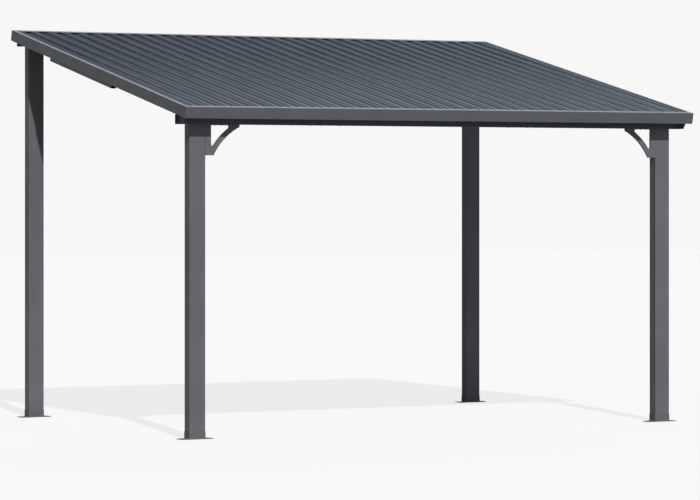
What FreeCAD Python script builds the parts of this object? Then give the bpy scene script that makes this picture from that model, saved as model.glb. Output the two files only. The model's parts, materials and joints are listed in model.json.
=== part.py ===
"""Lean-to hardtop gazebo: four tube posts, a ribbed roof that falls to the front, and its frame.

Millimetres, +Z up, front of the gazebo towards -Y. The origin is on the ground under the
centre of the roof. Roof pieces are drawn flat, in roof coordinates (x, s, n): s runs up the
slope from the front edge, n is square to the roof and 0 on its top face, and are then tilted.
"""
import FreeCAD, Part
import math
import os

from FreeCAD import Vector

# Roof: outer width, length up the slope, pitch angle, depth of the channel frame round it
roof_width = 4270.0
roof_length = 3093.0
roof_angle = 12.2
frame_depth = 83.0
frame_wall = 2.0
frame_bend = 3.0
front_flange = 45.0
rake_flange = 26.0
back_flange = 50.0

# Ribbed roof sheet
sheet_thickness = 1.0
rib_height = 11.0
rib_pitch = 129.7
rib_crown = 66.0
rib_web_run = 9.0
first_rib = 45.0
panel_count = 4
ribs_per_panel = 8
middle_seam_extra = 12.0
sheet_end_gap = 0.3
panel_gap = 0.4

# How far the roof stands past the posts
side_overhang = 108.0
front_overhang = 168.0
back_overhang = 19.0

# Posts and feet
post_width = 125.0
post_depth = 80.0
post_wall = 2.0
post_cap = 3.0
post_radius = 4.0
plate_width = 245.0
plate_depth = 90.0
plate_thickness = 5.0
sleeve_height = 50.0
sleeve_wall = 2.5
sleeve_clearance = 0.3
anchor_spacing_x = 186.0
anchor_spacing_y = 50.0
anchor_radius = 5.5

# Front beam, a tube in three lengths with a sleeve inside each joint
front_clear_height = 2214.0
front_beam_height = 70.0
front_beam_depth = 40.0
front_beam_wall = 2.0
front_beam_inset = 14.0
left_joint = 1021.0
right_joint = 2838.0
joint_gap = 2.0
splice_length = 440.0
splice_wall = 2.5
splice_clearance = 0.5

# Back beam and cross purlins, level tubes right under the sheet
tube_radius = 4.0
back_beam_height = 102.0
purlin_height = 90.0
purlin_depth = 50.0
purlin_wall = 2.0
lower_purlin_from_front_posts = 1085.0
upper_purlin_from_front_posts = 1945.0
fit_gap = 0.3

# Rafters between the bottom of the frame and the sheet
rafter_width = 40.0
rafter_wall = 2.0

# Angle cleats that hang the purlins on the rafters
cleat_leg = 38.0
cleat_height = 46.0
cleat_thickness = 3.0
cleat_rise = 8.0

# Stiffener bar under each rake
stiffener_start = 1238.0
stiffener_length = 1100.0
stiffener_width = 40.0
stiffener_depth = 23.0
stiffener_wall = 2.0

# Arched corner bracket, measured from the corner of post and beam
bracket_reach = 270.0
bracket_drop = 218.0
bracket_nose = 17.0
bracket_toe = 65.0
bracket_radius = 451.0
bracket_strip = 36.0
bracket_leg = 45.0
bracket_rail = 5.0
bracket_thickness = 16.0
bracket_hole_radius = 12.0
bracket_hole_corner = 5.0

# Eave bracket, the plate between each end of the front beam and the front fascia
eave_bracket_thickness = 3.0
eave_bracket_foot = 72.0

# Places worked out from the sizes above
ANGLE = math.radians(roof_angle)
COS = math.cos(ANGLE)
SIN = math.sin(ANGLE)
TAN = math.tan(ANGLE)

plan_depth = roof_length * COS + frame_depth * SIN
edge_y = -plan_depth / 2
edge_x = roof_width / 2

front_post_y = edge_y + front_overhang
back_post_y = plan_depth / 2 - back_overhang - post_depth
left_post_x = -edge_x + side_overhang
right_post_x = edge_x - side_overhang - post_width

# A sloping plane that touches a level tube's rounded corner passes this far under its sharp corner
tube_seat = tube_radius * (1 + TAN - 1 / COS)

front_beam_top = front_clear_height + front_beam_height
edge_z = front_beam_top - tube_seat + frame_depth / COS - front_overhang * TAN

sheet_bottom = -(frame_wall + rib_height + sheet_thickness)
rafter_bottom = -(frame_depth - frame_wall)
inner_x = edge_x - frame_wall
rafter_inner_x = inner_x - rafter_width
back_beam_y = back_post_y + post_depth - purlin_depth
inner_rafters_x = (left_post_x + left_joint, left_post_x + right_joint)
roof_inside_s = frame_bend + fit_gap


def roof_height(y, n):
    """Height of the plane at distance n from the roof's top face, over the place y."""
    return edge_z + (y - edge_y) * TAN + n / COS


def on_roof(shape):
    """Tilts a shape drawn in roof coordinates and puts it at its place."""
    turn = FreeCAD.Rotation(Vector(1, 0, 0), roof_angle)
    shape.Placement = FreeCAD.Placement(Vector(0, edge_y, edge_z), turn)
    return shape


def block(x0, x1, y0, y1, z0, z1):
    """A box between two corners."""
    return Part.makeBox(x1 - x0, y1 - y0, z1 - z0, Vector(x0, y0, z0))


def rounded_outline(corners):
    """A closed wire round (point, radius) corners: straight edges with an arc at each bent corner."""
    stretches = []
    for k, (point, radius) in enumerate(corners):
        if radius == 0:
            stretches.append((point, None, point))
            continue
        before = (corners[k - 1][0] - point).normalize()
        after = (corners[(k + 1) % len(corners)][0] - point).normalize()
        half_angle = before.getAngle(after) / 2
        inward = (before + after).normalize()
        reach = radius / math.tan(half_angle)
        crest = radius / math.sin(half_angle) - radius
        stretches.append((point + before * reach, point + inward * crest, point + after * reach))
    edges = []
    for k, (first, crest, last) in enumerate(stretches):
        if crest is not None:
            edges.append(Part.Arc(first, crest, last).toShape())
        following = stretches[(k + 1) % len(stretches)][0]
        edges.append(Part.LineSegment(last, following).toShape())
    return Part.Wire(edges)


def prism_x(points, x0, x1):
    """A solid with an outline of (y, z) or (y, z, bend radius) points, from x0 to x1."""
    corners = [(Vector(x0, p[0], p[1]), p[2] if len(p) > 2 else 0) for p in points]
    return Part.Face(rounded_outline(corners)).extrude(Vector(x1 - x0, 0, 0))


def prism_y(points, y0, y1):
    """A solid with an outline of (x, z) or (x, z, bend radius) points, from y0 to y1."""
    corners = [(Vector(p[0], y0, p[1]), p[2] if len(p) > 2 else 0) for p in points]
    return Part.Face(rounded_outline(corners)).extrude(Vector(0, y1 - y0, 0))


def rectangle(a0, a1, b0, b1, radius):
    """The outline of a rectangle with rounded corners."""
    return [(a0, b0, radius), (a1, b0, radius), (a1, b1, radius), (a0, b1, radius)]


def tube_x(x0, x1, y0, y1, z0, z1, wall, radius, inner_radius=0):
    """A rectangular tube along x with rounded corners, also inside where its open end shows."""
    outside = prism_x(rectangle(y0, y1, z0, z1, radius), x0, x1)
    inside = rectangle(y0 + wall, y1 - wall, z0 + wall, z1 - wall, inner_radius)
    return outside.cut(prism_x(inside, x0, x1))


def tube_y(x0, x1, y0, y1, z0, z1, wall, radius, inner_radius=0):
    """A rectangular tube along y with rounded corners, also inside where its open end shows."""
    outside = prism_y(rectangle(x0, x1, z0, z1, radius), y0, y1)
    inside = rectangle(x0 + wall, x1 - wall, z0 + wall, z1 - wall, inner_radius)
    return outside.cut(prism_y(inside, y0, y1))


def mirrored(shape):
    """The same piece on the other side, left for right."""
    return shape.mirror(Vector(0, 0, 0), Vector(1, 0, 0))


def together(shapes):
    """Several solids that don't touch, as one shape."""
    return Part.makeCompound(shapes)


def edges_along(shape, direction):
    """The straight edges of a shape that run along a direction."""
    found = []
    for edge in shape.Edges:
        if edge.Curve.TypeId != "Part::GeomLine":
            continue
        run = (edge.Vertexes[-1].Point - edge.Vertexes[0].Point).normalize()
        if abs(abs(run.dot(direction)) - 1) < 1e-6:
            found.append(edge)
    return found


def post(x, y, top):
    """A rectangular tube with rounded corners and a closed top, standing on its base plate."""
    outside = block(x, x + post_width, y, y + post_depth, plate_thickness, top)
    outside = outside.makeFillet(post_radius, edges_along(outside, Vector(0, 0, 1)))
    inside = block(
        x + post_wall, x + post_width - post_wall,
        y + post_wall, y + post_depth - post_wall,
        plate_thickness, top - post_cap,
    )
    inner_radius = max(post_radius - post_wall, post_wall / 2)
    inside = inside.makeFillet(inner_radius, edges_along(inside, Vector(0, 0, 1)))
    return outside.cut(inside)


def foot(x, y):
    """A base plate with anchor holes, and the low sleeve that the post stands in."""
    centre_x = x + post_width / 2
    centre_y = y + post_depth / 2
    plate = block(
        centre_x - plate_width / 2, centre_x + plate_width / 2,
        centre_y - plate_depth / 2, centre_y + plate_depth / 2,
        0, plate_thickness,
    )
    gap = sleeve_clearance
    skin = gap + sleeve_wall
    sleeve = block(
        x - skin, x + post_width + skin, y - skin, y + post_depth + skin,
        plate_thickness, plate_thickness + sleeve_height,
    )
    upright = Vector(0, 0, 1)
    sleeve = sleeve.makeFillet(post_radius + skin, edges_along(sleeve, upright))
    hollow = block(
        x - gap, x + post_width + gap, y - gap, y + post_depth + gap,
        plate_thickness, plate_thickness + sleeve_height,
    )
    hollow = hollow.makeFillet(post_radius + gap, edges_along(hollow, upright))
    whole = plate.fuse(sleeve.cut(hollow))
    for side in (-1, 1):
        for end in (-1, 1):
            place = Vector(
                centre_x + side * anchor_spacing_x / 2,
                centre_y + end * anchor_spacing_y / 2,
                0,
            )
            whole = whole.cut(Part.makeCylinder(anchor_radius, plate_thickness, place))
    return whole.removeSplitter()


def front_beam(x0, x1):
    """A length of the front beam, a tube with open ends."""
    return tube_x(
        x0, x1, front_post_y, front_post_y + front_beam_depth,
        front_clear_height, front_beam_top, front_beam_wall, tube_radius,
        max(tube_radius - front_beam_wall, 0),
    )


def beam_splice(x):
    """The sleeve inside a joint of the front beam, which lies on the beam's floor."""
    skin = front_beam_wall + splice_clearance
    return tube_x(
        x - splice_length / 2, x + splice_length / 2,
        front_post_y + skin, front_post_y + front_beam_depth - skin,
        front_clear_height + front_beam_wall, front_beam_top - skin,
        splice_wall, tube_radius,
    )


def arch_point(share):
    """A point (x, z) on the bracket's arched edge: share 0 is at the post, 1 at the beam."""
    x0, z0 = bracket_toe, -bracket_drop
    x1, z1 = bracket_reach, -bracket_nose
    chord = math.hypot(x1 - x0, z1 - z0)
    to_centre = math.sqrt(bracket_radius ** 2 - (chord / 2) ** 2)
    across = ((z1 - z0) / chord, -(x1 - x0) / chord)
    centre_x = (x0 + x1) / 2 + across[0] * to_centre
    centre_z = (z0 + z1) / 2 + across[1] * to_centre
    start = math.atan2(z0 - centre_z, x0 - centre_x)
    end = math.atan2(z1 - centre_z, x1 - centre_x)
    if start < 0:
        start += 2 * math.pi
    turn = start + share * (end - start)
    return centre_x, centre_z, turn


def left_bracket():
    """The arched bracket between the front left post and the beam, with its rounded hole."""
    corner = Vector(left_post_x + post_width, front_post_y, front_clear_height)
    centre_x, centre_z, low = arch_point(0)
    middle = arch_point(0.5)[2]
    arch_middle = Vector(
        centre_x + bracket_radius * math.cos(middle), 0,
        centre_z + bracket_radius * math.sin(middle),
    )
    toe = Vector(bracket_toe, 0, -bracket_drop)
    nose = Vector(bracket_reach, 0, -bracket_nose)
    top = Vector(bracket_reach, 0, 0)
    origin = Vector(0, 0, 0)
    heel = Vector(0, 0, -bracket_drop)
    edges = [
        Part.LineSegment(origin, top).toShape(),
        Part.LineSegment(top, nose).toShape(),
        Part.Arc(nose, arch_middle, toe).toShape(),
        Part.LineSegment(toe, heel).toShape(),
        Part.LineSegment(heel, origin).toShape(),
    ]
    plate = Part.Face(Part.Wire(edges)).extrude(Vector(0, bracket_thickness, 0))

    hole_radius = bracket_radius + bracket_strip
    through = Vector(0, bracket_thickness, 0)
    disc = Part.makeCylinder(
        hole_radius, bracket_thickness, Vector(centre_x, 0, centre_z), Vector(0, 1, 0)
    )
    hole = block(
        bracket_leg, bracket_reach, 0, bracket_thickness, -bracket_drop, -bracket_rail
    ).cut(disc)
    hole = max(hole.Solids, key=lambda piece: -piece.BoundBox.XMin)
    cross = edges_along(hole, through.normalize())
    square = [e for e in cross if e.BoundBox.XMin < bracket_leg + 1
              and e.BoundBox.ZMax > -bracket_rail - 1]
    sharp = [e for e in cross if not any(e.isSame(s) for s in square)]
    hole = hole.makeFillet(bracket_hole_radius, sharp)
    cross = edges_along(hole, Vector(0, 1, 0))
    square = [e for e in cross if e.BoundBox.XMin < bracket_leg + 1
              and e.BoundBox.ZMax > -bracket_rail - 1
              and e.BoundBox.XMax < bracket_leg + 1]
    hole = hole.makeFillet(bracket_hole_corner, square[:1])
    plate = plate.cut(hole)
    plate.translate(corner)
    return plate


def eave_bracket():
    """The left plate under the side rafter, from the front beam to the front fascia's flange."""
    x0 = -edge_x + rake_flange + fit_gap
    y0 = front_post_y
    tip_s = front_flange + fit_gap
    tip = edge_y + tip_s * COS - rafter_bottom * SIN
    outline = [
        (y0, front_clear_height),
        (y0 - eave_bracket_foot, front_clear_height),
        (tip, roof_height(tip, rafter_bottom)),
        (y0, roof_height(y0, rafter_bottom)),
    ]
    return prism_x(outline, x0, x0 + eave_bracket_thickness)


def level_tube(x0, x1, y0, height):
    """A level tube along x whose front top corner touches the underside of the sheet."""
    top = roof_height(y0, sheet_bottom) + tube_seat
    return tube_x(x0, x1, y0, y0 + purlin_depth, top - height, top, purlin_wall, tube_radius)


def rafter_bays():
    """The three clear spans between the rafters, as pairs of x."""
    left, right = inner_rafters_x
    half = rafter_width / 2
    return [(-rafter_inner_x, left - half), (left + half, right - half), (right + half, rafter_inner_x)]


def purlin(from_front_posts):
    """A cross purlin, in three lengths between the rafters."""
    y0 = front_post_y + from_front_posts
    lengths = [(a + fit_gap, b - fit_gap) for a, b in rafter_bays()]
    return together([level_tube(a, b, y0, purlin_height) for a, b in lengths])


def cleat(x, side, y0):
    """An angle on a rafter's face at x and on the front of the purlin at y0, which runs to its side."""
    z0 = roof_height(y0, rafter_bottom) + cleat_rise
    leg = side * cleat_leg
    skin = side * cleat_thickness
    outline = [
        (x, y0), (x, y0 - cleat_leg), (x + skin, y0 - cleat_leg),
        (x + skin, y0 - cleat_thickness), (x + leg, y0 - cleat_thickness), (x + leg, y0),
    ]
    corners = [(Vector(a, b, z0), 0) for a, b in outline]
    return Part.Face(rounded_outline(corners)).extrude(Vector(0, 0, cleat_height))


def purlin_cleats(from_front_posts):
    """The six cleats of a cross purlin, one at each end of its lengths."""
    y0 = front_post_y + from_front_posts
    cleats = []
    for a, b in rafter_bays():
        cleats += [cleat(a, 1, y0), cleat(b, -1, y0)]
    return together(cleats)


def side_rafter():
    """The left rafter, inside the rake channel."""
    rafter = tube_y(
        -inner_x, -rafter_inner_x, roof_inside_s, roof_length - roof_inside_s,
        rafter_bottom, sheet_bottom, rafter_wall, tube_radius,
    )
    return on_roof(rafter)


def inner_rafter(x):
    """A rafter from the front fascia to the back beam, over a joint of the front beam."""
    half = rafter_width / 2
    rafter = tube_y(
        x - half, x + half, roof_inside_s, roof_length, -frame_depth, sheet_bottom,
        rafter_wall, tube_radius,
    )
    over_flange = block(x - half, x + half, 0, front_flange + fit_gap, -frame_depth, rafter_bottom)
    rafter = on_roof(rafter.cut(over_flange))
    limit = back_beam_y - fit_gap
    behind = block(x - half - 1, x + half + 1, limit, limit + roof_length, 0, 2 * edge_z)
    return rafter.cut(behind)


def front_fascia():
    """The channel along the low edge, between the two rakes."""
    s1 = front_flange
    wall = frame_wall
    depth = frame_depth
    inner_bend = frame_bend - wall
    outline = [
        (0, -depth, frame_bend), (s1, -depth), (s1, -depth + wall), (wall, -depth + wall, inner_bend),
        (wall, -wall, inner_bend), (s1, -wall), (s1, 0), (0, 0, frame_bend),
    ]
    return on_roof(prism_x(outline, -inner_x, inner_x))


def back_fascia():
    """The angle along the high edge, whose flange lies on the rib tops."""
    s0 = roof_length
    wall = frame_wall
    outline = [
        (s0, 0, frame_bend), (s0 - back_flange, 0), (s0 - back_flange, -wall),
        (s0 - wall, -wall, frame_bend - wall), (s0 - wall, -frame_depth), (s0, -frame_depth),
    ]
    return on_roof(prism_x(outline, -inner_x, inner_x))


def rake_fascia():
    """The left rake: a channel whose web closes the ends of the front and back fascias."""
    x0 = -edge_x
    x1 = x0 + rake_flange
    wall = frame_wall
    depth = frame_depth
    inner_bend = frame_bend - wall
    outline = [
        (x0, -depth, frame_bend), (x1, -depth), (x1, -depth + wall), (x0 + wall, -depth + wall, inner_bend),
        (x0 + wall, -wall, inner_bend), (x1, -wall), (x1, 0), (x0, 0, frame_bend),
    ]
    channel = prism_y(outline, 0, roof_length)
    notches = [
        (0, front_flange + fit_gap, -depth, 0),
        (roof_length - back_flange - fit_gap, roof_length, -depth / 2, 0),
        (roof_length - roof_inside_s, roof_length, -depth, -depth / 2),
    ]
    for s0, s1, n0, n1 in notches:
        channel = channel.cut(block(x0 + wall, x1, s0, s1, n0, n1))
    return on_roof(channel)


def stiffener():
    """The bar under the left rake, flush with its outer face."""
    x0 = -edge_x
    bar = tube_y(
        x0, x0 + stiffener_width, stiffener_start, stiffener_start + stiffener_length,
        -frame_depth - stiffener_depth, -frame_depth, stiffener_wall, tube_radius,
        max(tube_radius - stiffener_wall, 0),
    )
    return on_roof(bar)


def rib_middle(k):
    """The middle of rib k, from the roof's left edge: the seam at mid-width is a little wider."""
    past_middle = k >= panel_count * ribs_per_panel / 2
    return first_rib + rib_pitch * k + (middle_seam_extra if past_middle else 0)


def sheet_height(x, bends):
    """The height n of the sheet's top face at x, between the bend lines on its left and right."""
    for (x0, n0), (x1, n1) in zip(bends, bends[1:]):
        if x0 <= x <= x1:
            return n0 + (n1 - n0) * (x - x0) / (x1 - x0)
    return bends[0][1]


def roof_panel(number):
    """One ribbed sheet: whole ribs from its left seam to its right seam or the roof's edge."""
    crown = -frame_wall
    valley = crown - rib_height
    half = rib_crown / 2
    bends = []
    for k in range(panel_count * ribs_per_panel + 1):
        middle = rib_middle(k)
        bends += [
            (middle - half - rib_web_run, valley), (middle - half, crown),
            (middle + half, crown), (middle + half + rib_web_run, valley),
        ]
    left_limit = frame_wall + sheet_end_gap
    first = number * ribs_per_panel
    last = first + ribs_per_panel
    start = left_limit
    end = roof_width - left_limit
    if number > 0:
        start = (rib_middle(first - 1) + rib_middle(first) + panel_gap) / 2
    if number < panel_count - 1:
        end = (rib_middle(last - 1) + rib_middle(last) - panel_gap) / 2
    top = [(start, sheet_height(start, bends))]
    top += [bend for bend in bends if start < bend[0] < end]
    top += [(end, sheet_height(end, bends))]
    under = [(x, n - sheet_thickness) for x, n in reversed(top)]
    outline = [(x - edge_x, n) for x, n in top + under]
    s0 = frame_bend + sheet_end_gap
    return on_roof(prism_y(outline, s0, roof_length - s0))


def build():
    """Every piece of the gazebo by its name."""
    back_top = roof_height(back_beam_y, sheet_bottom) + tube_seat - back_beam_height
    beam_end = edge_x - front_beam_inset
    left, right = inner_rafters_x
    half_gap = joint_gap / 2
    pieces = {
        "front_left_post": post(left_post_x, front_post_y, front_clear_height),
        "front_right_post": post(right_post_x, front_post_y, front_clear_height),
        "back_left_post": post(left_post_x, back_post_y, back_top),
        "back_right_post": post(right_post_x, back_post_y, back_top),
        "front_left_foot": foot(left_post_x, front_post_y),
        "front_right_foot": foot(right_post_x, front_post_y),
        "back_left_foot": foot(left_post_x, back_post_y),
        "back_right_foot": foot(right_post_x, back_post_y),
        "front_beam_left": front_beam(-beam_end, left - half_gap),
        "front_beam_middle": front_beam(left + half_gap, right - half_gap),
        "front_beam_right": front_beam(right + half_gap, beam_end),
        "front_beam_splice_left": beam_splice(left),
        "front_beam_splice_right": beam_splice(right),
        "back_beam": level_tube(
            -rafter_inner_x + fit_gap, rafter_inner_x - fit_gap, back_beam_y, back_beam_height
        ),
        "lower_purlin": purlin(lower_purlin_from_front_posts),
        "upper_purlin": purlin(upper_purlin_from_front_posts),
        "lower_purlin_cleats": purlin_cleats(lower_purlin_from_front_posts),
        "upper_purlin_cleats": purlin_cleats(upper_purlin_from_front_posts),
        "inner_rafter_left": inner_rafter(left),
        "inner_rafter_right": inner_rafter(right),
        "front_fascia": front_fascia(),
        "back_fascia": back_fascia(),
    }
    sided = {
        "arch_bracket": left_bracket(),
        "eave_bracket": eave_bracket(),
        "side_rafter": side_rafter(),
        "rake_fascia": rake_fascia(),
        "rake_stiffener": stiffener(),
    }
    for name, shape in sided.items():
        pieces["left_" + name] = shape
        pieces["right_" + name] = mirrored(shape)
    for number in range(panel_count):
        pieces["roof_panel_%d" % (number + 1)] = roof_panel(number)
    return pieces


def main():
    os.makedirs("parts", exist_ok=True)
    volume = 0.0
    for name, shape in build().items():
        if not shape.isValid():
            raise ValueError(name + " is not a valid shape")
        shape.exportStep("parts/%s.step" % name)
        volume += shape.Volume
    print("pieces are written, %.1f litres of material" % (volume / 1e6))


main()
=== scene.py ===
"""Looks of the lean-to hardtop gazebo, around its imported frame.

Metres, +Z up, front of the gazebo towards -Y. Places on the roof are given in roof coordinates:
x across, s up the slope from the front edge, n square to the roof and 0 on its top face.
"""

import json
import math

import bpy
from mathutils import Matrix, Vector


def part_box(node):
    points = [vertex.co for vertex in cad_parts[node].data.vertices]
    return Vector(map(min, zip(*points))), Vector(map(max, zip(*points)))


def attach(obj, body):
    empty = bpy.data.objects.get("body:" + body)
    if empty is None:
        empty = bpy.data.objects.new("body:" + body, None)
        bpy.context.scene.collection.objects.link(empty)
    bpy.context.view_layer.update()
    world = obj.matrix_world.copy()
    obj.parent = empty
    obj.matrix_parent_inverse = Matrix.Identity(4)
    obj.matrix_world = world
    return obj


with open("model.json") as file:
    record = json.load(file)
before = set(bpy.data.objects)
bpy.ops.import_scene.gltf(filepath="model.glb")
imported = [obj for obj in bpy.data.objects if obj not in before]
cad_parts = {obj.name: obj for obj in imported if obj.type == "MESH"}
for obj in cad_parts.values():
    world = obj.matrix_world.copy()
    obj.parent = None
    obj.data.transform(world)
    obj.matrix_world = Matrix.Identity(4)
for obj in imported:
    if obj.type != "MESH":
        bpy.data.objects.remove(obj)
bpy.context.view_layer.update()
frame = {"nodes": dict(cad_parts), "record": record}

MM = 0.001
UP = Vector((0, 0, 1))
DOWN = Vector((0, 0, -1))
BACK = Vector((0, 1, 0))

# Camera: level, fitted to the posts and roof corners of the photograph. Lens and sensor in mm, turn in
# degrees, and the horizon's row in the photograph's pixels
CAMERA_PLACE = (-13.0743, -23.5595, 1.7530)
CAMERA_TURN = 29.0516
CAMERA_LENS = 181.595
SENSOR_WIDTH = 36.0
VIEW_REACH = 400.0
PICTURE_WIDTH = 700
PICTURE_HEIGHT = 500
HORIZON_ROW = 189.88

# Light: a sun whose shadow edges fall where the photograph shows them on the posts
SUN_TRAVEL = Vector((0.26, 1.0, -0.834))
SUN_STRENGTH = 3.0
SUN_ANGLE = 1.2

# Weak broad lamps: one from the front right lifts the shade on faces that look to the front, one from
# behind on the right keeps the back readable
FILL_TRAVEL = Vector((-0.25, 1.0, -0.15))
FILL_STRENGTH = 0.44
BACK_TRAVEL = Vector((-0.6, -0.8, -0.4))
BACK_STRENGTH = 1.0
FILL_ANGLE = 50.0

# Backdrop and floor: what lights the gazebo is dimmer than what the camera sees
SKY_TOP = "C9CED6"
SKY_LEVEL = 0.36
BACKGROUND = "F7F7F7"
FLOOR_REACH = 60.0
FLOOR_PAINT = "F3F3F3"
FLOOR_GLOW = "FBFBFB"
FLOOR_BOUNCE = "9A9A98"
FLOOR_SHADOW = 0.20

# Frame nodes that carry fasteners and welds
FEET = ("front_left_foot", "front_right_foot", "back_left_foot", "back_right_foot")
RAFTERS = ("left_side_rafter", "inner_rafter_left", "inner_rafter_right", "right_side_rafter")

# How far a foot's sleeve stands out from its post
SLEEVE_SKIN = 2.8 * MM

# Roof sheet sizes that the fasteners and the weathering need
SHEET_THICKNESS = 1.0 * MM
RIBS_PER_PANEL = 8
FIRST_RIB = 45.0 * MM
MIDDLE_SEAM_EXTRA = 12.0 * MM

# Painted shade and light across the ribs, in turns from a crown's middle to the right: painted shade on the
# lee side, painted shade on the top of the next rib's web, and the valley floor beside that web, which takes
# the valleys' dust and painted light
LEE_SHADE_START = 0.0
LEE_SHADE_MIDDLE = 0.2
LEE_SHADE_END = 0.8
WEB_START = 0.69
WEB_END = 0.74
WEB_EDGE = 0.76
WEB_FADE = 0.95
WEB_SHADE_DEPTH = 0.75
VALLEY_DUST_AND_LIGHT_START = 0.54
VALLEY_DUST_AND_LIGHT_END = 0.65

# Painted light and shade up the slope, in metres: the valleys' pale dust and painted highlight turn to
# painted shade, and a painted shade darkens all, sooner on the left
VALLEY_SHADE_START = 0.2
VALLEY_SHADE_END = 2.3
UPSLOPE_SHADE_START = 1.0
UPSLOPE_SHADE_END = 4.0
UPSLOPE_SHADE_DEPTH = 0.65
UPSLOPE_SHADE_SLANT = 0.8

# Heights over a valley's floor between which its dust and painted light thin out
VALLEY_DUST_AND_LIGHT_FULL = 2 * MM
VALLEY_DUST_AND_LIGHT_TOP = 9 * MM

# Paint on steel: on the weathered roof it mirrors little
PAINT_IOR = 1.48
ROOF_GLOSS = 0.08
ROOF_ROUGHNESS = (0.56, 0.68)

# The range in which most of a noise lies, and a narrower one that gives clouds firmer edges
NOISE_SPAN = (0.3, 0.7)
CLOUD_SPAN = (0.35, 0.68)


def linear(hex_colour):
    """The linear colour of an sRGB hex value."""
    parts = [int(hex_colour[i:i + 2], 16) / 255 for i in (0, 2, 4)]
    curve = [c / 12.92 if c <= 0.04045 else ((c + 0.055) / 1.055) ** 2.4 for c in parts]
    return (*curve, 1.0)


def add(tree, kind, settings=None, **sockets):
    """Adds a node with its settings, and sets or links its inputs: n0 is the first, and in a name
    _ stands for a space."""
    node = tree.nodes.new(kind)
    for name, value in (settings or {}).items():
        setattr(node, name, value)
    for name, value in sockets.items():
        key = int(name[1:]) if name[0] == "n" and name[1:].isdigit() else name.replace("_", " ")
        socket = node.inputs[key]
        if isinstance(value, bpy.types.NodeSocket):
            tree.links.new(value, socket)
        else:
            socket.default_value = value
    return node


def bare_tree(owner):
    """The emptied node tree of a material or a world."""
    owner.use_nodes = True
    owner.node_tree.nodes.clear()
    return owner.node_tree


# Places on the roof

def roof_axes():
    """The roof's axes as a matrix, its length and its depth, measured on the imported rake."""
    crown = max(frame["nodes"]["roof_panel_1"].data.polygons, key=lambda f: f.area * (f.normal.z > 0.5))
    pitch = math.atan2(-crown.normal.y, crown.normal.z)
    low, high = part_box("left_rake_fascia")
    plan, rise = high.y - low.y, high.z - low.z
    cos, sin = math.cos(pitch), math.sin(pitch)
    length = (plan * cos - rise * sin) / math.cos(2 * pitch)
    depth = (rise * cos - plan * sin) / math.cos(2 * pitch)
    matrix = Matrix((
        (1, 0, 0, 0),
        (0, cos, -sin, low.y),
        (0, sin, cos, high.z - length * sin),
        (0, 0, 0, 1),
    ))
    return matrix, length, depth


ROOF, ROOF_LENGTH, FRAME_DEPTH = roof_axes()
ROOF_UP = ROOF.to_3x3() @ UP
EDGE_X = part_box("left_rake_fascia")[0].x
SEAMS = [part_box("roof_panel_%d" % number)[0].x for number in (2, 3, 4)]
RIB_PITCH = (SEAMS[1] - SEAMS[0] - MIDDLE_SEAM_EXTRA / 2) / RIBS_PER_PANEL
# The floor of a valley, as its distance n from the roof's top
VALLEY = min(
    (ROOF.inverted() @ v.co).z for v in frame["nodes"]["roof_panel_2"].data.vertices
) + SHEET_THICKNESS


def on_roof(x, s, n):
    """The point that lies at x, s and n on the roof."""
    return ROOF @ Vector((x, s, n))


def slope_at(y, n):
    """How far s up the slope a point at y lies, if it is n from the roof's top."""
    offset = y - ROOF.translation.y
    return (offset + n * ROOF[2][1]) / ROOF[1][1]


def rib_crowns(every=1):
    """The middles x of every so many ribs, across the whole roof."""
    rib_count = (len(SEAMS) + 1) * RIBS_PER_PANEL + 1
    middles = []
    for k in range(0, rib_count, every):
        extra = MIDDLE_SEAM_EXTRA if k >= rib_count // 2 else 0.0
        middles.append(EDGE_X + FIRST_RIB + RIB_PITCH * k + extra)
    return middles


def middle(node):
    """The middle of a node's box."""
    low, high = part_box(node)
    return (low + high) / 2


# Materials

def material(name):
    """An empty material, its tree, its object coordinates and its shader."""
    made = bpy.data.materials.new(name)
    tree = bare_tree(made)
    place = add(tree, "ShaderNodeTexCoord").outputs["Object"]
    shader = add(tree, "ShaderNodeBsdfPrincipled")
    add(tree, "ShaderNodeOutputMaterial", Surface=shader.outputs["BSDF"])
    return made, tree, place, shader


def noise(tree, place, size, detail=2.0, stretch=(1, 1, 1)):
    """A 0 to 1 noise whose lumps are about size metres across, longer along a stretched axis."""
    mapping = add(tree, "ShaderNodeMapping", Vector=place, Scale=tuple(1 / (size * s) for s in stretch))
    cloud = add(
        tree, "ShaderNodeTexNoise",
        Vector=mapping.outputs["Vector"], Scale=1.0, Detail=detail, Roughness=0.5,
    )
    return cloud.outputs["Fac"]


def ramp(tree, factor, low, high, to_low=0.0, to_high=1.0):
    """A factor stretched from one range to another, and held at its ends."""
    spread = add(
        tree, "ShaderNodeMapRange", Value=factor,
        From_Min=low, From_Max=high, To_Min=to_low, To_Max=to_high,
    )
    return spread.outputs["Result"]


def maths(tree, operation, *terms):
    """The result of an operation on numbers or sockets."""
    inputs = {"n%d" % k: term for k, term in enumerate(terms)}
    return add(tree, "ShaderNodeMath", {"operation": operation}, **inputs).outputs["Value"]


def band(tree, factor, start, peak, end):
    """1 at the peak of a range, falling to 0 at its start and end."""
    rising = ramp(tree, factor, start, peak)
    falling = ramp(tree, factor, peak, end, 1.0, 0.0)
    return maths(tree, "MULTIPLY", rising, falling)


def blend_colours(tree, factor, first, second):
    """A colour between two, each a hex value or a socket."""
    # The node's colour sockets share their names with its number sockets, so they are numbered here
    node = add(tree, "ShaderNodeMix", {"data_type": "RGBA"}, n0=factor)
    for socket, colour in zip((node.inputs[6], node.inputs[7]), (first, second)):
        if isinstance(colour, str):
            socket.default_value = linear(colour)
        else:
            tree.links.new(colour, socket)
    return node.outputs[2]


def upward(tree):
    """How far a face looks up: 1 on top faces, 0 on walls and undersides."""
    normal = add(tree, "ShaderNodeNewGeometry").outputs["Normal"]
    height = add(tree, "ShaderNodeSeparateXYZ", Vector=normal).outputs["Z"]
    return ramp(tree, height, 0.3, 0.95)


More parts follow.
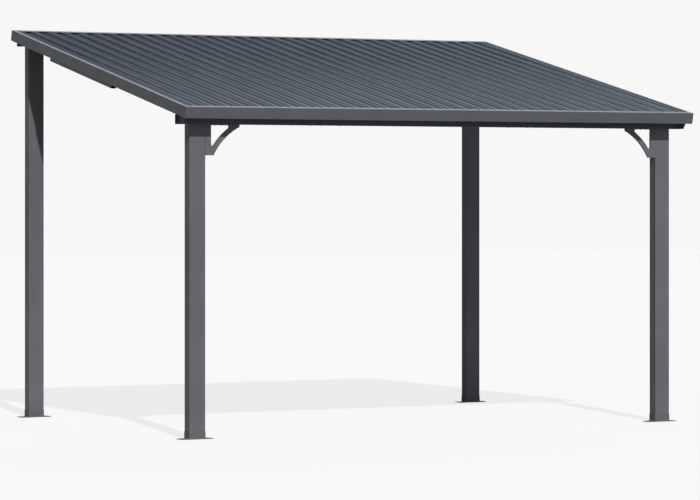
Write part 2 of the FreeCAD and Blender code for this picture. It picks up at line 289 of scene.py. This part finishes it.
def finish_paint(tree, shader, colour, roughness, bump, gloss):
    """Links a paint's colour, roughness and relief to its shader, and sets how much it mirrors."""
    tree.links.new(colour, shader.inputs["Base Color"])
    tree.links.new(roughness, shader.inputs["Roughness"])
    tree.links.new(bump.outputs["Normal"], shader.inputs["Normal"])
    shader.inputs["IOR"].default_value = PAINT_IOR
    shader.inputs["Specular IOR Level"].default_value = gloss


def powder_coat(name, base, pale, dust_and_highlight, roughness, gloss=0.06):
    """Polyester powder coat, sprayed and baked: satin, with orange peel, faint cloudy tone, and a paler
    colour on top faces that is dust, and on the fascia a painted highlight.
    """
    made, tree, place, shader = material(name)
    # Spraying leaves clouds of tone about 380 mm across, and specks of about 9 mm
    cloud = noise(tree, place, 380 * MM, detail=3.0)
    tone = blend_colours(tree, ramp(tree, cloud, *CLOUD_SPAN), base, pale)
    specks = noise(tree, place, 9 * MM, detail=1.0)
    grain = blend_colours(tree, ramp(tree, specks, 0.3, 0.75, to_high=0.35), tone, pale)
    # Rain leaves faint upright runs on walls, about 25 mm apart
    runs = noise(tree, place, 25 * MM, stretch=(1, 1, 30))
    washed_and_shade = blend_colours(tree, ramp(tree, runs, 0.52, 0.8, to_high=0.4), grain, pale)
    # Top faces turn paler: dust, and on the fascia a painted highlight
    patchy_dust_and_light = noise(tree, place, 120 * MM, detail=4.0)
    dust_and_highlight_mask = maths(tree, "MULTIPLY", upward(tree), ramp(tree, patchy_dust_and_light, *NOISE_SPAN, to_low=0.6))
    colour = blend_colours(tree, dust_and_highlight_mask, washed_and_shade, dust_and_highlight)
    # The real peel is about 1 mm across, too fine to show at this size, so it is drawn at 6 mm
    peel = noise(tree, place, 6 * MM)
    bump = add(tree, "ShaderNodeBump", Strength=0.25, Distance=0.2 * MM, Height=peel)
    patches = noise(tree, place, 160 * MM, detail=3.0)
    finish = ramp(tree, patches, *NOISE_SPAN, roughness - 0.05, roughness + 0.07)
    finish_paint(tree, shader, colour, finish, bump, gloss)
    return made


def roof_place(tree, place):
    """The roof coordinates (x, s, n) of each point of a surface."""
    pitch = math.atan2(ROOF[2][1], ROOF[1][1])
    start = ROOF.to_3x3().inverted() @ ROOF.translation
    mapping = add(
        tree, "ShaderNodeMapping", Vector=place, Rotation=(-pitch, 0, 0), Location=tuple(-start),
    )
    return mapping.outputs["Vector"]


def rib_phase(tree, x):
    """Where a point lies across the ribs: 0 and 1 in the middle of a crown, 0.5 in a valley."""
    past_middle = maths(tree, "GREATER_THAN", x, SEAMS[1])
    wider = maths(tree, "MULTIPLY", past_middle, MIDDLE_SEAM_EXTRA)
    even = maths(tree, "SUBTRACT", x, wider)
    from_first = maths(tree, "SUBTRACT", even, EDGE_X + FIRST_RIB)
    return maths(tree, "FRACT", maths(tree, "DIVIDE", from_first, RIB_PITCH))


def coil_coat(name, base, pale, dust_and_highlight, washed_and_shade, shaded):
    """Coil-coated ribbed sheet: thin blue-grey paint, rolled smooth. Painted shade darkens the crowns' lee
    side and the top of the webs. The valleys are pale near the low edge, with dust and a painted highlight,
    and turn to painted shade up the slope, where a painted shade darkens all."""
    made, tree, place, shader = material(name)
    along = roof_place(tree, place)
    x, s, n = add(tree, "ShaderNodeSeparateXYZ", Vector=along).outputs
    cloud = noise(tree, along, 420 * MM, detail=3.0, stretch=(1, 2.5, 1))
    tone = blend_colours(tree, ramp(tree, cloud, *CLOUD_SPAN), base, pale)
    # Rain leaves pale streaks down the slope, about 14 mm apart
    runs = noise(tree, along, 14 * MM, detail=3.0, stretch=(1, 45, 1))
    streaked = blend_colours(tree, ramp(tree, runs, 0.5, 0.8, to_high=0.4), tone, pale)
    phase = rib_phase(tree, x)
    # Painted shade on each crown's lee side
    lee_shade = band(tree, phase, LEE_SHADE_START, LEE_SHADE_MIDDLE, LEE_SHADE_END)
    lee_shaded = blend_colours(tree, lee_shade, streaked, washed_and_shade)
    # Painted shade along the top of the next rib's web
    web = ramp(tree, phase, WEB_START, WEB_END)
    web_shade = maths(tree, "MULTIPLY", web, ramp(tree, phase, WEB_EDGE, WEB_FADE, WEB_SHADE_DEPTH, 0.0))
    web_shaded = blend_colours(tree, web_shade, lee_shaded, washed_and_shade)
    # The valley floors: pale near the low edge, part dust and part painted highlight, turning to painted
    # shade up the slope
    valley_dust_and_light = blend_colours(tree, ramp(tree, s, VALLEY_SHADE_START, VALLEY_SHADE_END), dust_and_highlight, shaded)
    low_face = ramp(tree, n, VALLEY + VALLEY_DUST_AND_LIGHT_TOP, VALLEY + VALLEY_DUST_AND_LIGHT_FULL)
    valley_floor = maths(tree, "MULTIPLY", low_face, ramp(tree, phase, VALLEY_DUST_AND_LIGHT_START, VALLEY_DUST_AND_LIGHT_END))
    # The valleys' dust and painted light are uneven in patches about 60 mm wide and 360 mm long
    lumps = noise(tree, along, 60 * MM, detail=4.0, stretch=(1, 6, 1))
    patchy_dust_and_light = maths(tree, "MULTIPLY", valley_floor, ramp(tree, lumps, *NOISE_SPAN, to_low=0.8))
    with_valley_dust_and_light = blend_colours(tree, patchy_dust_and_light, web_shaded, valley_dust_and_light)
    # Painted shade that darkens all of the roof up the slope, sooner on the left
    slant = maths(tree, "MULTIPLY_ADD", x, -UPSLOPE_SHADE_SLANT, s)
    upslope_shade = ramp(tree, slant, UPSLOPE_SHADE_START, UPSLOPE_SHADE_END, to_high=UPSLOPE_SHADE_DEPTH)
    colour = blend_colours(tree, upslope_shade, with_valley_dust_and_light, washed_and_shade)
    # Rolling leaves shallow waves along the sheet, about 30 mm apart
    waves = noise(tree, along, 30 * MM, detail=1.0, stretch=(1, 10, 1))
    bump = add(tree, "ShaderNodeBump", Strength=0.2, Distance=0.4 * MM, Height=waves)
    patches = noise(tree, along, 90 * MM, detail=3.0, stretch=(1, 5, 1))
    finish = ramp(tree, patches, *NOISE_SPAN, *ROOF_ROUGHNESS)
    finish_paint(tree, shader, colour, finish, bump, ROOF_GLOSS)
    return made


def zinc_plate(name):
    """Zinc-plated steel of screws and bolts, passivated: dull silver with a cloudy grey bloom."""
    made, tree, place, shader = material(name)
    bloom = noise(tree, place, 5 * MM, detail=3.0)
    colour = blend_colours(tree, ramp(tree, bloom, *NOISE_SPAN), "8F9296", "B5B7B8")
    tree.links.new(colour, shader.inputs["Base Color"])
    tree.links.new(ramp(tree, bloom, *NOISE_SPAN, 0.34, 0.5), shader.inputs["Roughness"])
    shader.inputs["Metallic"].default_value = 0.9
    return made


POST_COAT = powder_coat("powder_coated_post_steel", "5E5F63", "66676B", "77777A", 0.55)
FOOT_COAT = powder_coat("powder_coated_foot_steel", "5B5B5F", "636366", "7A7977", 0.58)
FRAME_COAT = powder_coat("powder_coated_frame_steel", "505257", "585A5F", "6A6B6E", 0.55)
BRACKET_COAT = powder_coat("powder_coated_bracket_steel", "5E5F63", "66676B", "77777A", 0.55)
# The fascia's pale top colour is a painted highlight along its top faces
FASCIA_COAT = powder_coat("powder_coated_fascia_sheet", "54565B", "5B5D62", "8B8F98", 0.44, gloss=0.08)
# On the roof the pale valley colour is part dust and part painted highlight, and the last two colours are
# painted shade
ROOF_COAT = coil_coat("coil_coated_ribbed_sheet", "4A545E", "525C66", "7C8690", "222A36", "373F48")
SCREW_ZINC = zinc_plate("zinc_plated_screw_steel")
SCREW_COAT = powder_coat("painted_screw_heads", "424549", "4C4F53", "5C5E61", 0.5)
SHEET_SCREW_COAT = powder_coat("painted_sheet_screw_heads", "505A63", "59636B", "68727A", 0.55)

COATS = {
    "post_coating": POST_COAT,
    "foot_coating": FOOT_COAT,
    "frame_coating": FRAME_COAT,
    "bracket_coating": BRACKET_COAT,
    "fascia_coating": FASCIA_COAT,
    "roof_sheet_coating": ROOF_COAT,
}


def dress_frame():
    """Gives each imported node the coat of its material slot."""
    for subpart in frame["record"]["subparts"]:
        node = frame["nodes"][subpart["node"]]
        node.material_slots[0].link = "OBJECT"
        node.material_slots[0].material = COATS[subpart["material_slot"]]


# Pieces

def new_object(name, data):
    """An object in the scene that holds a mesh, a lamp or a camera."""
    made = bpy.data.objects.new(name, data)
    bpy.context.scene.collection.objects.link(made)
    return made


def add_piece(name, mesh):
    """A piece that rides on the gazebo."""
    piece = new_object(name, mesh)
    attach(piece, "root")


def grow_piece(name, carrier_mesh, tree, inputs):
    """A piece whose plain mesh a Geometry Nodes tree makes on a carrier mesh, from its named inputs."""
    carrier = new_object(name + "_carrier", carrier_mesh)
    modifier = carrier.modifiers.new("grown", "NODES")
    modifier.node_group = tree
    for socket in tree.interface.items_tree:
        if socket.name in inputs:
            modifier[socket.identifier] = inputs[socket.name]
    graph = bpy.context.evaluated_depsgraph_get()
    mesh = bpy.data.meshes.new_from_object(carrier.evaluated_get(graph), depsgraph=graph)
    bpy.data.objects.remove(carrier)
    add_piece(name, mesh)


def new_tree(name, carrier, sizes, result):
    """A Geometry Nodes tree with a geometry input, sizes, a coat and one result, and its inputs."""
    tree = bpy.data.node_groups.new(name, "GeometryNodeTree")
    face = tree.interface
    face.new_socket(carrier, in_out="INPUT", socket_type="NodeSocketGeometry")
    for size in sizes:
        face.new_socket(size, in_out="INPUT", socket_type="NodeSocketFloat")
    face.new_socket("Coat", in_out="INPUT", socket_type="NodeSocketMaterial")
    face.new_socket(result, in_out="OUTPUT", socket_type="NodeSocketGeometry")
    return tree, add(tree, "NodeGroupInput").outputs


def random_number(tree, low, high, seed):
    """A random number for each point, the same on every run."""
    return add(tree, "FunctionNodeRandomValue", {"data_type": "FLOAT"}, n2=low, n3=high, Seed=seed).outputs[1]


def give_out(tree, geometry, coat):
    """Ends a tree: makes its instances real, coats them and gives them out."""
    real = add(tree, "GeometryNodeRealizeInstances", Geometry=geometry)
    coated = add(tree, "GeometryNodeSetMaterial", Geometry=real.outputs["Geometry"], Material=coat)
    add(tree, "NodeGroupOutput", n0=coated.outputs["Geometry"])


# Fasteners: one stands on each point of a carrier mesh, built up of layers

LAYER_SIZES = ("Foot", "Top", "Height")


def fastener_tree(name, layers):
    """A tree that stands a fastener on each point, along the point's facing. A layer is a name and its
    sides; its foot radius, top radius and height are inputs of the tree."""
    sizes = ["%s %s" % (layer, size) for layer, _ in layers for size in LAYER_SIZES]
    tree, given = new_tree(name, "Points", sizes, "Fasteners")
    stack = add(tree, "GeometryNodeJoinGeometry")
    height = 0.0
    for layer, sides in layers:
        cone = add(
            tree, "GeometryNodeMeshCone", Vertices=sides,
            Radius_Top=given[layer + " Top"], Radius_Bottom=given[layer + " Foot"],
            Depth=given[layer + " Height"],
        )
        lift = add(tree, "ShaderNodeCombineXYZ", Z=height)
        moved = add(
            tree, "GeometryNodeTransform",
            Geometry=cone.outputs["Mesh"], Translation=lift.outputs["Vector"],
        )
        tree.links.new(moved.outputs["Geometry"], stack.inputs["Geometry"])
        height = maths(tree, "ADD", height, given[layer + " Height"])
    facing = add(
        tree, "GeometryNodeInputNamedAttribute", {"data_type": "FLOAT_VECTOR"}, Name="facing",
    ).outputs["Attribute"]
    upright = add(tree, "FunctionNodeAlignRotationToVector", {"axis": "Z"}, Vector=facing)
    spin = add(tree, "ShaderNodeCombineXYZ", Z=random_number(tree, 0.0, math.tau, seed=7))
    spun = add(
        tree, "FunctionNodeRotateRotation", {"rotation_space": "LOCAL"},
        Rotation=upright.outputs["Rotation"], Rotate_By=spin.outputs["Vector"],
    )
    placed = add(
        tree, "GeometryNodeInstanceOnPoints", Points=given["Points"],
        Instance=stack.outputs["Geometry"], Rotation=spun.outputs["Rotation"],
    )
    give_out(tree, placed.outputs["Instances"], given["Coat"])
    return tree


HEX_SCREW = fastener_tree("hex_screw", (("Washer", 14), ("Collar", 14), ("Head", 6), ("Dome", 6)))
PAN_SCREW = fastener_tree("pan_screw", (("Rim", 12), ("Shoulder", 12), ("Crown", 12)))
HEX_BOLT = fastener_tree("hex_bolt", (("Washer", 16), ("Head", 6), ("Dome", 6)))

# Foot radius, top radius and height of each layer, in mm
SHEET_SCREW = {
    "Washer": (8.0, 7.6, 1.6), "Collar": (6.6, 5.6, 1.0), "Head": (4.6, 4.6, 3.6), "Dome": (4.5, 2.6, 0.6),
}
PAN_HEAD = {"Rim": (5.5, 5.5, 0.8), "Shoulder": (5.5, 4.4, 1.3), "Crown": (4.4, 2.0, 0.5)}
RIVET_HEAD = {"Rim": (4.8, 4.6, 0.5), "Shoulder": (4.6, 3.2, 0.9), "Crown": (3.2, 1.2, 0.4)}
FRAME_BOLT = {"Washer": (9.0, 8.8, 1.4), "Head": (7.2, 7.2, 4.6), "Dome": (7.1, 5.4, 0.5)}


def row_of_fasteners(name, tree, layers, coat, places):
    """One mesh of fasteners of a kind. A place is a point and the direction that the head faces."""
    carrier = bpy.data.meshes.new(name + "_points")
    carrier.from_pydata([point for point, _ in places], [], [])
    facing = carrier.attributes.new("facing", "FLOAT_VECTOR", "POINT")
    for item, (_, direction) in zip(facing.data, places):
        item.vector = direction
    inputs = {"Coat": coat}
    for layer, sizes in layers.items():
        for size, value in zip(LAYER_SIZES, sizes):
            inputs["%s %s" % (layer, size)] = value * MM
    grow_piece(name, carrier, tree, inputs)


def sheet_screws():
    """Sealed hex screws in the valleys of the sheet, right of their middle, over the purlins and the
    back beam."""
    off_middle = 14 * MM
    middles = rib_crowns()
    places = []
    for carrier in ("lower_purlin", "upper_purlin", "back_beam"):
        s = slope_at(middle(carrier).y, VALLEY)
        for left, right in zip(middles, middles[1:]):
            places.append((on_roof((left + right) / 2 + off_middle, s, VALLEY), ROOF_UP))
    row_of_fasteners(
        "roof_sheet_screws", HEX_SCREW, SHEET_SCREW, SHEET_SCREW_COAT, places,
    )


def flange_screws():
    """Pan heads through the front and back fascia flanges into every second rib's top."""
    front_s = 24 * MM
    back_s = ROOF_LENGTH - 26 * MM
    places = [(on_roof(x, s, 0), ROOF_UP) for x in rib_crowns(every=2) for s in (front_s, back_s)]
    row_of_fasteners("fascia_rib_screws", PAN_SCREW, PAN_HEAD, SCREW_COAT, places)


def rake_screws():
    """Pan heads from below through the rake flanges into the side rafters."""
    count = 7
    from_end = 120 * MM
    from_edge = 14 * MM
    places = []
    for side in (-1, 1):
        x = side * (-EDGE_X - from_edge)
        for k in range(count):
            s = from_end + (ROOF_LENGTH - 2 * from_end) * k / (count - 1)
            places.append((on_roof(x, s, -FRAME_DEPTH), -ROOF_UP))
    row_of_fasteners("rake_flange_screws", PAN_SCREW, PAN_HEAD, SCREW_COAT, places)


def splice_screws():
    """Pan heads from below through the front beam into the sleeves of its two joints."""
    near = 37 * MM
    far = 199 * MM
    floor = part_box("front_beam_left")[0].z
    places = []
    for splice in ("front_beam_splice_left", "front_beam_splice_right"):
        centre = middle(splice)
        for across in (-far, -near, near, far):
            places.append((Vector((centre.x + across, centre.y, floor)), DOWN))
    row_of_fasteners("beam_splice_screws", PAN_SCREW, PAN_HEAD, SCREW_COAT, places)


def bracket_screws():
    """Pan heads inside the arched brackets' holes: through the leg into the post, the rail into the beam."""
    leg = 45 * MM
    rail = 5 * MM
    drops = (50 * MM, 90 * MM)
    reaches = (80 * MM, 130 * MM)
    places = []
    for side, node in ((1, "left_arch_bracket"), (-1, "right_arch_bracket")):
        low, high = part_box(node)
        post_x = low.x if side > 0 else high.x
        y = (low.y + high.y) / 2
        for drop in drops:
            places.append((Vector((post_x + side * leg, y, high.z - drop)), Vector((side, 0, 0))))
        for reach in reaches:
            places.append((Vector((post_x + side * reach, y, high.z - rail)), DOWN))
    row_of_fasteners("arch_bracket_screws", PAN_SCREW, PAN_HEAD, SCREW_COAT, places)


def cleat_screws():
    """Hex screws through both legs of each purlin cleat."""
    thickness = 3 * MM
    from_rafter = 24 * MM
    from_tip = 14 * MM
    rises = (12 * MM, 33 * MM)
    rafters = [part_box(node) for node in RAFTERS]
    places = []
    for node in ("lower_purlin_cleats", "upper_purlin_cleats"):
        low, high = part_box(node)
        for left, right in zip(rafters, rafters[1:]):
            for x, side in ((left[1].x, 1), (right[0].x, -1)):
                for rise in rises:
                    z = low.z + rise
                    on_purlin = Vector((x + side * from_rafter, high.y - thickness, z))
                    on_rafter = Vector((x + side * thickness, low.y + from_tip, z))
                    places += [(on_purlin, -BACK), (on_rafter, Vector((side, 0, 0)))]
    row_of_fasteners("purlin_cleat_screws", HEX_SCREW, SHEET_SCREW, SCREW_ZINC, places)


def stiffener_rivets():
    """Dome heads from below through the stiffener bars into the rakes."""
    bar_depth = 23 * MM
    shares_of_bar = (0.04, 0.28, 0.52, 0.76, 0.96)
    places = []
    for node in ("left_rake_stiffener", "right_rake_stiffener"):
        low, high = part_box(node)
        x = middle(node).x
        start = slope_at(low.y, -FRAME_DEPTH)
        end = slope_at(high.y, -FRAME_DEPTH)
        for share in shares_of_bar:
            s = start + (end - start) * share
            places.append((on_roof(x, s, -FRAME_DEPTH - bar_depth), -ROOF_UP))
    row_of_fasteners("rake_stiffener_rivets", PAN_SCREW, RIVET_HEAD, SCREW_COAT, places)


def foot_bolts():
    """Hex bolts through the back of each sleeve into its post."""
    height = 32 * MM
    off_centre = 32 * MM
    places = []
    for node in FEET:
        low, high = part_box(node)
        sleeve_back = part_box(node.replace("foot", "post"))[1].y + SLEEVE_SKIN
        for across in (-off_centre, off_centre):
            places.append((Vector(((low.x + high.x) / 2 + across, sleeve_back, height)), BACK))
    row_of_fasteners("foot_sleeve_bolts", HEX_BOLT, FRAME_BOLT, SCREW_ZINC, places)


# Weld beads, swept along their seams

BEAD_STEP = 5 * MM
BEAD_RIPPLE = 0.35


def bead_tree():
    """A tree that sweeps a rippled bead along the edges of a carrier mesh."""
    tree, given = new_tree("weld_bead", "Seams", ("Bead Radius", "Step", "Ripple"), "Bead")
    line = add(tree, "GeometryNodeMeshToCurve", Mesh=given["Seams"])
    dense = add(
        tree, "GeometryNodeResampleCurve", {"mode": "LENGTH"},
        Curve=line.outputs["Curve"], Length=given["Step"],
    )
    swell = maths(tree, "MULTIPLY_ADD", random_number(tree, 0.0, 1.0, seed=11), given["Ripple"], 1.0)
    sized = add(tree, "GeometryNodeSetCurveRadius", Curve=dense.outputs["Curve"], Radius=swell)
    ring = add(
        tree, "GeometryNodeCurvePrimitiveCircle", {"mode": "RADIUS"},
        Resolution=8, Radius=given["Bead Radius"],
    )
    swept = add(
        tree, "GeometryNodeCurveToMesh", Curve=sized.outputs["Curve"],
        Profile_Curve=ring.outputs["Curve"], Fill_Caps=True,
    )
    give_out(tree, swept.outputs["Mesh"], given["Coat"])
    return tree


BEAD = bead_tree()


def weld_beads(name, seams, closed, coat, radius):
    """One mesh of weld beads. A seam is a list of points, joined end to end where closed."""
    points = []
    edges = []
    for seam in seams:
        first = len(points)
        points += seam
        edges += [(first + k, first + k + 1) for k in range(len(seam) - 1)]
        if closed:
            edges.append((first + len(seam) - 1, first))
    carrier = bpy.data.meshes.new(name + "_seams")
    carrier.from_pydata(points, edges, [])
    inputs = {"Bead Radius": radius, "Step": BEAD_STEP, "Ripple": BEAD_RIPPLE, "Coat": coat}
    grow_piece(name, carrier, BEAD, inputs)


def rounded_ring(low, high, z, radius):
    """A rounded rectangle of points at a height, between two opposite corners."""
    steps = 3
    ring = []
    corners = ((high.x, high.y, 0), (low.x, high.y, 1), (low.x, low.y, 2), (high.x, low.y, 3))
    for x, y, quarter in corners:
        centre_x = x - radius if x == high.x else x + radius
        centre_y = y - radius if y == high.y else y + radius
        for step in range(steps + 1):
            angle = math.pi / 2 * (quarter + step / steps)
            ring.append((centre_x + radius * math.cos(angle), centre_y + radius * math.sin(angle), z))
    return ring


def sleeve_welds():
    """The bead that joins each sleeve to its base plate."""
    rise = 1 * MM
    corner_radius = 7 * MM
    bead_radius = 2.4 * MM
    skin = Vector((SLEEVE_SKIN, SLEEVE_SKIN, 0))
    seams = []
    for node in FEET:
        low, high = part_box(node.replace("foot", "post"))
        seams.append(rounded_ring(low - skin, high + skin, low.z + rise, corner_radius))
    weld_beads("foot_weld_beads", seams, True, FOOT_COAT, bead_radius)


def eave_bracket_welds():
    """The beads between the eave brackets and the front beam, on the plates' inner sides."""
    proud = 0.8 * MM
    start = 6 * MM
    steps = 11
    bead_radius = 2.0 * MM
    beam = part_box("front_beam_left")[0]
    heights = [beam.z + start + BEAD_STEP * k for k in range(steps + 1)]
    seams = []
    for side, node in ((1, "left_eave_bracket"), (-1, "right_eave_bracket")):
        low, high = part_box(node)
        x = high.x if side > 0 else low.x
        seams.append([(x + side * proud, beam.y - proud, z) for z in heights])
    weld_beads("eave_bracket_weld_beads", seams, False, FRAME_COAT, bead_radius)


def sheet_laps():
    """The thin side lap of each roof sheet over its neighbour, in the valley at the seam."""
    left = -6 * MM
    right = 20 * MM
    bevel = 1 * MM
    foot = 0.05 * MM
    lift = 1.1 * MM
    margin = 4 * MM
    section = ((left, foot), (left + bevel, lift), (right - bevel, lift), (right, foot))
    sides = ((0, 1), (1, 2), (2, 3), (3, 0))
    vertices = []
    faces = []
    for seam in SEAMS:
        start = len(vertices)
        end = start + len(section)
        for s in (margin, ROOF_LENGTH - margin):
            vertices += [on_roof(seam + x, s, VALLEY + n) for x, n in section]
        faces += [(end + a, end + b, start + b, start + a) for a, b in sides]
        faces += [tuple(range(start, end)), tuple(reversed(range(end, end + len(section))))]
    mesh = bpy.data.meshes.new("roof_sheet_laps")
    mesh.from_pydata(vertices, [], faces)
    mesh.materials.append(ROOF_COAT)
    add_piece("roof_sheet_laps", mesh)


# Camera, light and floor

def add_camera():
    """The level camera of the photograph's view."""
    data = bpy.data.cameras.new("camera")
    data.sensor_width = SENSOR_WIDTH
    data.lens = CAMERA_LENS
    data.shift_y = (HORIZON_ROW - PICTURE_HEIGHT / 2) / PICTURE_WIDTH
    data.clip_end = VIEW_REACH
    camera = new_object("camera", data)
    camera.location = CAMERA_PLACE
    camera.rotation_euler = (math.pi / 2, 0, -math.radians(CAMERA_TURN))
    bpy.context.scene.camera = camera


def distant_lamp(name, travel, strength, angle, glossy=True):
    """A lamp so far off that its light travels one way, with shadows softened over an angle."""
    data = bpy.data.lights.new(name, "SUN")
    data.energy = strength
    data.angle = math.radians(angle)
    lamp = new_object(name, data)
    lamp.rotation_mode = "QUATERNION"
    lamp.rotation_quaternion = travel.to_track_quat("-Z", "Y")
    lamp.visible_glossy = glossy


def add_lamps():
    """The sun, and the two fill lamps, which don't show in reflections."""
    distant_lamp("sun", SUN_TRAVEL, SUN_STRENGTH, SUN_ANGLE)
    distant_lamp("front_fill", FILL_TRAVEL, FILL_STRENGTH, FILL_ANGLE, glossy=False)
    distant_lamp("back_fill", BACK_TRAVEL, BACK_STRENGTH, FILL_ANGLE, glossy=False)


def seen_directly(tree):
    """1 on rays from the camera, in reflections and through glass, and 0 on rays that light things."""
    rays = add(tree, "ShaderNodeLightPath").outputs
    seen = maths(tree, "MAXIMUM", rays["Is Camera Ray"], rays["Is Glossy Ray"])
    return maths(tree, "MAXIMUM", seen, rays["Is Transmission Ray"])


def add_sky():
    """A dim cool sky that lights the gazebo, and the pale backdrop that is seen in its place."""
    world = bpy.data.worlds.new("studio")
    tree = bare_tree(world)
    sky = add(tree, "ShaderNodeBackground", Color=linear(SKY_TOP), Strength=SKY_LEVEL)
    seen = add(tree, "ShaderNodeBackground", Color=linear(BACKGROUND), Strength=1.0)
    mixed = add(tree, "ShaderNodeMixShader", Fac=seen_directly(tree), n1=sky.outputs[0], n2=seen.outputs[0])
    add(tree, "ShaderNodeOutputWorld", Surface=mixed.outputs["Shader"])
    bpy.context.scene.world = world


def floor_material():
    """A pale studio floor that fades into the backdrop and keeps a light shadow of the gazebo."""
    made = bpy.data.materials.new("pale_studio_floor")
    tree = bare_tree(made)
    pale = add(tree, "ShaderNodeBsdfDiffuse", Color=linear(FLOOR_PAINT))
    glow = add(tree, "ShaderNodeEmission", Color=linear(FLOOR_GLOW), Strength=1.0)
    shown = add(tree, "ShaderNodeMixShader", Fac=FLOOR_SHADOW, n1=glow.outputs[0], n2=pale.outputs[0])
    dim = add(tree, "ShaderNodeBsdfDiffuse", Color=linear(FLOOR_BOUNCE))
    mixed = add(
        tree, "ShaderNodeMixShader", Fac=seen_directly(tree), n1=dim.outputs[0], n2=shown.outputs[0],
    )
    # From below the floor is clear, so that the underside can be looked at
    clear = add(tree, "ShaderNodeBsdfTransparent")
    under = add(tree, "ShaderNodeNewGeometry").outputs["Backfacing"]
    sided = add(tree, "ShaderNodeMixShader", Fac=under, n1=mixed.outputs["Shader"], n2=clear.outputs[0])
    add(tree, "ShaderNodeOutputMaterial", Surface=sided.outputs["Shader"])
    return made


def add_floor():
    """The wide floor that the gazebo stands on, which isn't part of it."""
    reach = FLOOR_REACH
    corners = [(-reach, -reach, 0), (reach, -reach, 0), (reach, reach, 0), (-reach, reach, 0)]
    mesh = bpy.data.meshes.new("floor")
    mesh.from_pydata(corners, [], [(0, 1, 2, 3)])
    mesh.materials.append(floor_material())
    new_object("floor", mesh)


bpy.context.scene.view_settings.view_transform = "Standard"
add_camera()
add_lamps()
add_sky()
add_floor()
dress_frame()
sheet_screws()
sheet_laps()
flange_screws()
rake_screws()
splice_screws()
bracket_screws()
cleat_screws()
stiffener_rivets()
foot_bolts()
sleeve_welds()
eave_bracket_welds()
